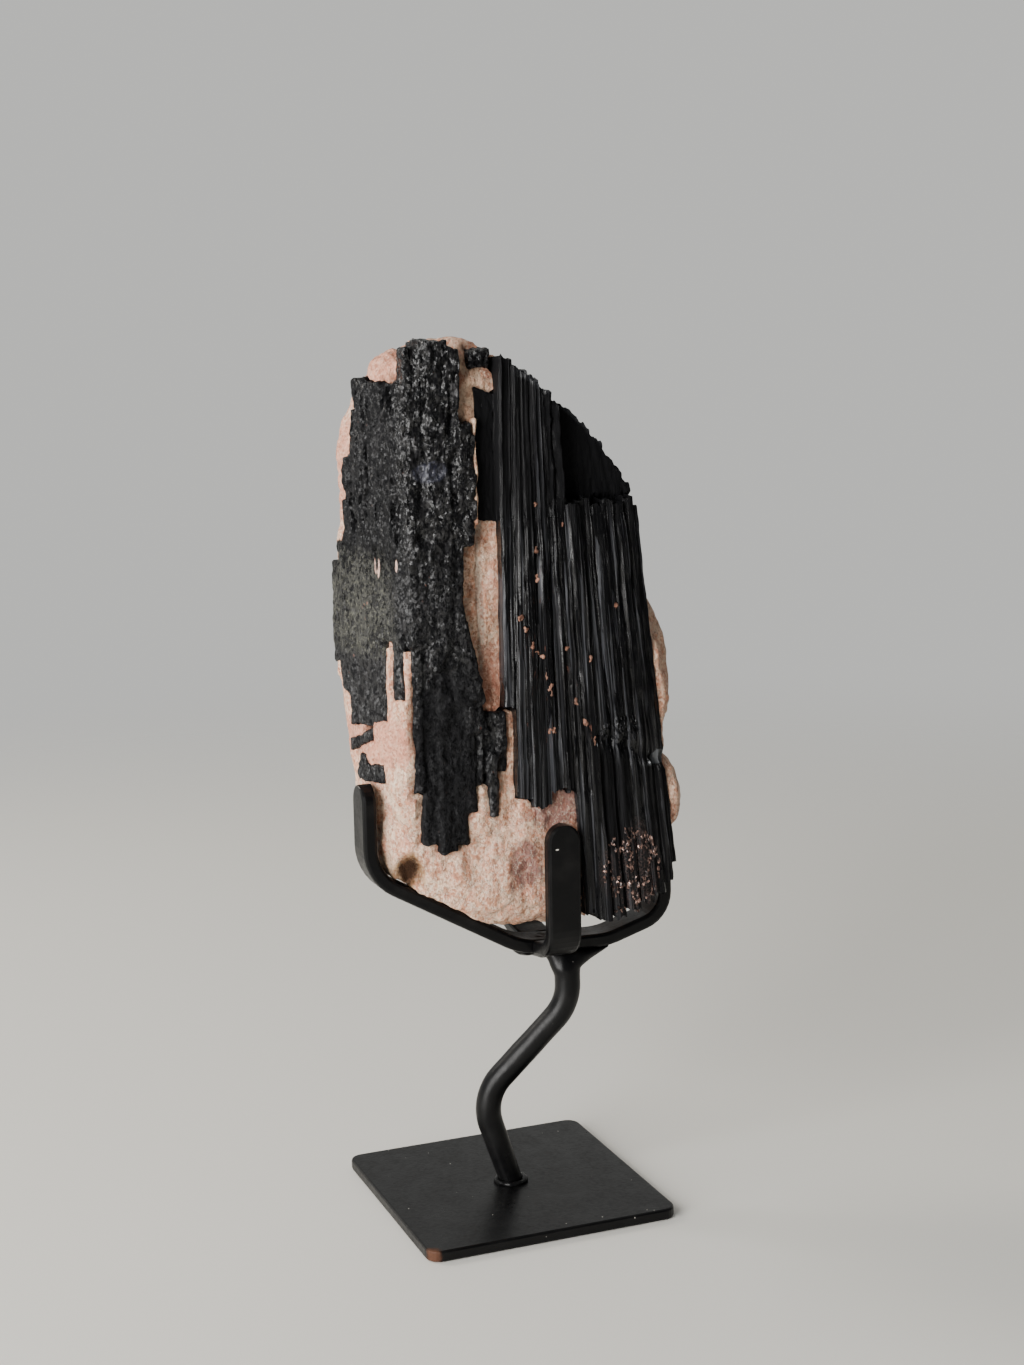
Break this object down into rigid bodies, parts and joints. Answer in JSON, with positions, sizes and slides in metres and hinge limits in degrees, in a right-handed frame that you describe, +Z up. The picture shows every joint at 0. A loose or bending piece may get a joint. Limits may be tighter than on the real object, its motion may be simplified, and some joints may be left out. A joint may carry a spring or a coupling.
{
  "type": "mineral specimen on a stand",
  "caption": "Upright black tourmaline crystals grown on pink feldspar, held by bent flat prongs on a curved rod above a square plate; a display specimen that stands on a shelf.",
  "frame": {"origin": "centre of the square plate's underside", "axes": "+Z up along the height; +X along the cradle's right arm and +Y along its back arm, both parallel to the plate's edges"},
  "size_m": [0.0956, 0.075, 0.2489],
  "materials": {
    "black_iron": "satin black paint on iron, slightly chipped",
    "black_tourmaline": "glossy striated prism faces and rough pitted faces",
    "feldspar": "dull granular pink and cream with flat cleavage faces"
  },
  "bodies": {
    "root": {"base_plate": "black_iron", "stem": "black_iron", "prong_left": "black_iron", "prong_right": "black_iron", "prong_front": "black_iron", "prong_back": "black_iron", "feldspar_matrix": "feldspar", "tourmaline_left": "black_tourmaline", "tourmaline_right": "black_tourmaline", "tourmaline_back": "black_tourmaline", "tourmaline_shard": "black_tourmaline", "tourmaline_chip": "black_tourmaline", "tourmaline_top": "black_tourmaline"}
  },
  "joints": []
}
